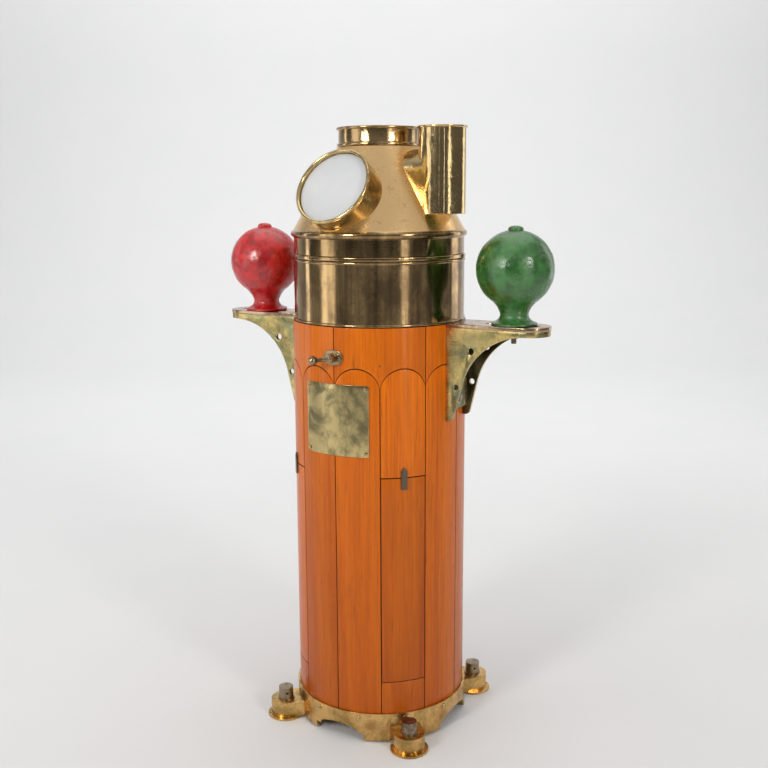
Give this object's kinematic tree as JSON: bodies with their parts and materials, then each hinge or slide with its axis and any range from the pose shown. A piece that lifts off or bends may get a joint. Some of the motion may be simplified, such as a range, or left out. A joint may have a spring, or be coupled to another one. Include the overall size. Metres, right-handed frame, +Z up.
{
  "type": "ship compass binnacle",
  "caption": "Staved wooden binnacle with brass foot ring, compass housing, turning hood with window and lamp tube, and sliding corrector spheres on brackets.",
  "frame": {"origin": "on the deck, on the pedestal axis, in the middle of the deck screw circle", "axes": "+Z up; -Y towards the helmsman (lever and nameplate side); +X starboard (green sphere)"},
  "size_m": [0.7334, 0.4004, 1.214],
  "materials": {
    "teak": "varnished",
    "inner_wood": "oiled",
    "base_brass": "worn",
    "aged_brass": "patinated",
    "tarnished_brass": "tarnished",
    "hood_brass": "satin",
    "plain_brass": "satin",
    "screw_brass": "worn",
    "dark_bronze": "dark",
    "opal_glass": "opal",
    "clear_glass": "clear",
    "card_stock": "printed",
    "steel": "plain",
    "green_paint": "gloss",
    "red_paint": "gloss"
  },
  "bodies": {
    "pedestal": {"base_ring": "base_brass", "base_screws": "screw_brass", "bracket_bolts": "dark_bronze", "bracket_port": "tarnished_brass", "bracket_starboard": "tarnished_brass", "deck_bolts": "dark_bronze", "deck_pads": "base_brass", "escutcheon": "aged_brass", "frieze_1": "teak", "frieze_2": "teak", "frieze_3": "teak", "frieze_4": "teak", "frieze_5": "teak", "frieze_6": "teak", "gimbal_bearer": "plain_brass", "head_ring": "inner_wood", "housing": "aged_brass", "lower_stave_port": "teak", "lower_stave_starboard": "teak", "magnet_rack": "inner_wood", "magnet_tube": "plain_brass", "nameplate": "tarnished_brass", "plate_screws": "screw_brass", "slotted_plates": "dark_bronze", "stave_back_port": "teak", "stave_back_starboard": "teak", "stave_front_port": "teak", "stave_front_starboard": "teak", "stave_quarter_port": "teak", "stave_quarter_starboard": "teak", "stave_side_port_aft": "teak", "stave_side_port_fore": "teak", "stave_side_starboard_aft": "teak", "stave_side_starboard_fore": "teak", "upper_stave_port": "teak", "upper_stave_starboard": "teak"},
    "lever": {"lever": "aged_brass", "magnet_drum": "aged_brass"},
    "bucket": {"magnet_bucket": "steel", "bucket_chain": "steel"},
    "hood_ring": {"hood_ring": "hood_brass"},
    "hood": {"hood": "hood_brass", "window_tube": "hood_brass", "window_glass": "opal_glass", "collar": "hood_brass", "lamp_tube": "hood_brass"},
    "lid": {"collar_lid": "hood_brass"},
    "lamp": {"oil_lamp": "plain_brass"},
    "gimbal": {"gimbal_ring": "plain_brass"},
    "bowl": {"compass_bowl": "plain_brass", "bowl_glass": "clear_glass"},
    "card": {"compass_card": "card_stock"},
    "sphere_starboard": {"sphere_starboard": "green_paint", "clamp_stud_starboard": "dark_bronze"},
    "sphere_port": {"sphere_port": "red_paint", "clamp_stud_port": "dark_bronze"},
    "door_starboard": {"door_starboard": "teak"},
    "door_port": {"door_port": "teak"},
    "latch_starboard": {"door_latch_starboard": "dark_bronze"},
    "latch_port": {"door_latch_port": "dark_bronze"}
  },
  "joints": [
    {"name": "hood_swivel", "type": "hinge", "parent": "pedestal", "child": "hood_ring", "pos_m": [0, 0, 0.966], "axis": [0, 0, 1], "continuous": true},
    {"name": "hood_lift", "type": "slide", "parent": "hood_ring", "child": "hood", "axis": [0, 0, 1], "range_m": [0, 0.25]},
    {"name": "lid_lift", "type": "slide", "parent": "hood", "child": "lid", "axis": [0, 0, 1], "range_m": [0, 0.1]},
    {"name": "lamp_lift", "type": "slide", "parent": "hood", "child": "lamp", "axis": [0, 0, 1], "range_m": [0, 0.2]},
    {"name": "gimbal_roll", "type": "hinge", "parent": "pedestal", "child": "gimbal", "pos_m": [0, 0, 0.925], "axis": [0, 1, 0], "range_deg": [-30, 30]},
    {"name": "bowl_pitch", "type": "hinge", "parent": "gimbal", "child": "bowl", "pos_m": [0, 0, 0.925], "axis": [1, 0, 0], "range_deg": [-30, 30]},
    {"name": "card_spin", "type": "hinge", "parent": "bowl", "child": "card", "pos_m": [0, 0, 0.925], "axis": [0, 0, 1], "continuous": true},
    {"name": "bucket_slide", "type": "slide", "parent": "pedestal", "child": "bucket", "axis": [0, 0, 1], "range_m": [-0.1084, 0.1084], "deforming": ["bucket_chain"]},
    {"name": "lever_turn", "type": "hinge", "parent": "pedestal", "child": "lever", "pos_m": [0, -0.19, 0.781], "axis": [0, -1, 0], "range_deg": [-451, 451]},
    {"name": "sphere_starboard_slide", "type": "slide", "parent": "pedestal", "child": "sphere_starboard", "axis": [1, 0, 0], "range_m": [-0.044, 0.036]},
    {"name": "sphere_port_slide", "type": "slide", "parent": "pedestal", "child": "sphere_port", "axis": [-1, 0, 0], "range_m": [-0.032, 0.048]},
    {"name": "door_starboard_tilt", "type": "hinge", "parent": "pedestal", "child": "door_starboard", "pos_m": [0.12374, -0.12374, 0.128], "axis": [0.7071, 0.7071, 0], "range_deg": [0, 60]},
    {"name": "latch_starboard_turn", "type": "hinge", "parent": "door_starboard", "child": "latch_starboard", "pos_m": [0.12445, -0.12445, 0.544], "axis": [0.7071, -0.7071, 0], "range_deg": [0, 90]},
    {"name": "door_port_tilt", "type": "hinge", "parent": "pedestal", "child": "door_port", "pos_m": [-0.12374, -0.12374, 0.128], "axis": [0.7071, -0.7071, 0], "range_deg": [0, 60]},
    {"name": "latch_port_turn", "type": "hinge", "parent": "door_port", "child": "latch_port", "pos_m": [-0.12445, -0.12445, 0.544], "axis": [-0.7071, -0.7071, 0], "range_deg": [0, 90]}
  ],
  "couplings": [
    {"joint": "lever_turn", "follows": "bucket_slide", "rad_per_m": 72.464}
  ]
}
